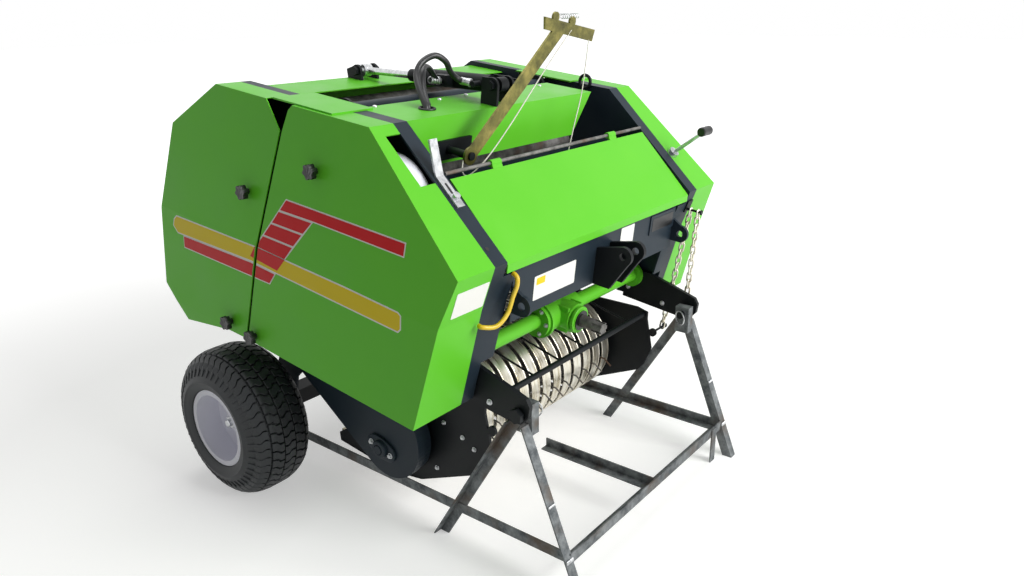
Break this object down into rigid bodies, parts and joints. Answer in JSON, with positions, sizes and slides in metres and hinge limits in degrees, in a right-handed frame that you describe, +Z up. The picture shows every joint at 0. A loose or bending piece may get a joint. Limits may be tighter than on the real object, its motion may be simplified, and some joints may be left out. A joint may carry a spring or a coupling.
{
  "type": "round baler",
  "caption": "Small towed round baler with a roller chamber, opening tailgate, tined pickup and twine arm, on an angle-iron stand.",
  "frame": {"origin": "on the ground under the middle of the machine's box", "axes": "+Z up, -Y towards the tractor, +X to the machine's left"},
  "size_m": [1.367, 1.3045, 1.32],
  "materials": {
    "lime_paint": "gloss",
    "blue_grey_paint": "satin",
    "black_paint": "satin",
    "black_plastic": "satin",
    "raw_steel": "matte",
    "yellow_zinc": "satin",
    "bright_zinc": "satin",
    "chrome_rod": "gloss",
    "silver_paint": "satin",
    "tyre_rubber": "matte",
    "black_hose": "satin",
    "yellow_hose": "satin",
    "twine": "matte"
  },
  "bodies": {
    "chassis": {"side_plates": "blue_grey_paint", "hinge_tube": "blue_grey_paint", "front_panel": "blue_grey_paint", "hood": "lime_paint", "twine_box": "blue_grey_paint", "twine_ball": "twine", "lid_rod": "raw_steel", "front_covers": "lime_paint", "gap_plates": "lime_paint", "axle": "black_paint", "front_rollers": "raw_steel", "feed_shaft": "raw_steel", "driveline_tube": "lime_paint", "gearbox": "lime_paint", "top_link_fork": "black_paint", "hitch_arms": "black_paint", "stand": "raw_steel", "cylinder_bracket": "black_paint", "arm_bracket": "black_paint", "hose_front": "black_hose", "hose_rear": "black_hose", "hose_yellow": "yellow_hose", "crank": "bright_zinc", "lever": "bright_zinc", "drive_pulley": "silver_paint", "knobs": "black_plastic", "lifting_eye": "black_paint", "lift_chain": "yellow_zinc", "chain_hook": "black_paint", "twine_strand": "twine"},
    "wheel_right": {"rim_right": "silver_paint", "tyre_right": "tyre_rubber"},
    "wheel_left": {"rim_left": "silver_paint", "tyre_left": "tyre_rubber"},
    "tailgate": {"gate_plates": "blue_grey_paint", "gate_sheet": "lime_paint", "gate_arms": "black_paint", "rear_covers": "lime_paint", "rear_rollers": "raw_steel", "gate_knobs": "black_plastic"},
    "barrel": {"cylinder_barrel": "black_paint"},
    "rod": {"cylinder_rod": "chrome_rod"},
    "lid_body": {"lid": "lime_paint"},
    "pickup": {"pickup_frame": "black_paint", "pickup_bands": "yellow_zinc", "chain_case": "blue_grey_paint"},
    "reel": {"pickup_reel": "raw_steel"},
    "twine_swing": {"twine_arm": "yellow_zinc"},
    "pto": {"input_shaft": "raw_steel"}
  },
  "joints": [
    {"name": "wheel_right_spin", "type": "hinge", "parent": "chassis", "child": "wheel_right", "pos_m": [-0.5815, 0.423, 0.218], "axis": [1, 0, 0], "continuous": true},
    {"name": "wheel_left_spin", "type": "hinge", "parent": "chassis", "child": "wheel_left", "pos_m": [0.5815, 0.423, 0.218], "axis": [1, 0, 0], "continuous": true},
    {"name": "tailgate_swing", "type": "hinge", "parent": "chassis", "child": "tailgate", "pos_m": [0, 0.09203, 1.09115], "axis": [1, 0, 0], "range_deg": [0, 60], "deforming": ["hose_front", "hose_rear"]},
    {"name": "cylinder_swing", "type": "hinge", "parent": "chassis", "child": "barrel", "pos_m": [-0.075, -0.14234, 1.14295], "axis": [1, 0, 0], "range_deg": [0, 33.5], "deforming": ["hose_front", "hose_rear"]},
    {"name": "rod_slide", "type": "slide", "parent": "barrel", "child": "rod", "axis": [0, 0.9995, 0.0331], "range_m": [-0.128, 0]},
    {"name": "lid_swing", "type": "hinge", "parent": "chassis", "child": "lid_body", "pos_m": [0, -0.269, 0.98258], "axis": [-1, 0, 0], "range_deg": [0, 90]},
    {"name": "pickup_lift", "type": "hinge", "parent": "chassis", "child": "pickup", "pos_m": [0, 0.22692, 0.43721], "axis": [-1, 0, 0], "range_deg": [0, 4], "deforming": ["lift_chain"]},
    {"name": "reel_spin", "type": "hinge", "parent": "pickup", "child": "reel", "pos_m": [0, -0.05507, 0.26216], "axis": [1, 0, 0], "continuous": true},
    {"name": "twine_arm_swing", "type": "hinge", "parent": "chassis", "child": "twine_swing", "pos_m": [-0.293, -0.22454, 0.99872], "axis": [0, 0.9936, 0.1132], "range_deg": [0, 30], "deforming": ["twine_strand"]},
    {"name": "input_spin", "type": "hinge", "parent": "chassis", "child": "pto", "pos_m": [0, -0.31608, 0.52128], "axis": [0, 0.9936, 0.1132], "continuous": true}
  ],
  "couplings": [
    {"joint": "cylinder_swing", "follows": "tailgate_swing", "ratio": 0.5568},
    {"joint": "rod_slide", "follows": "tailgate_swing", "m_per_rad": -0.12152}
  ]
}
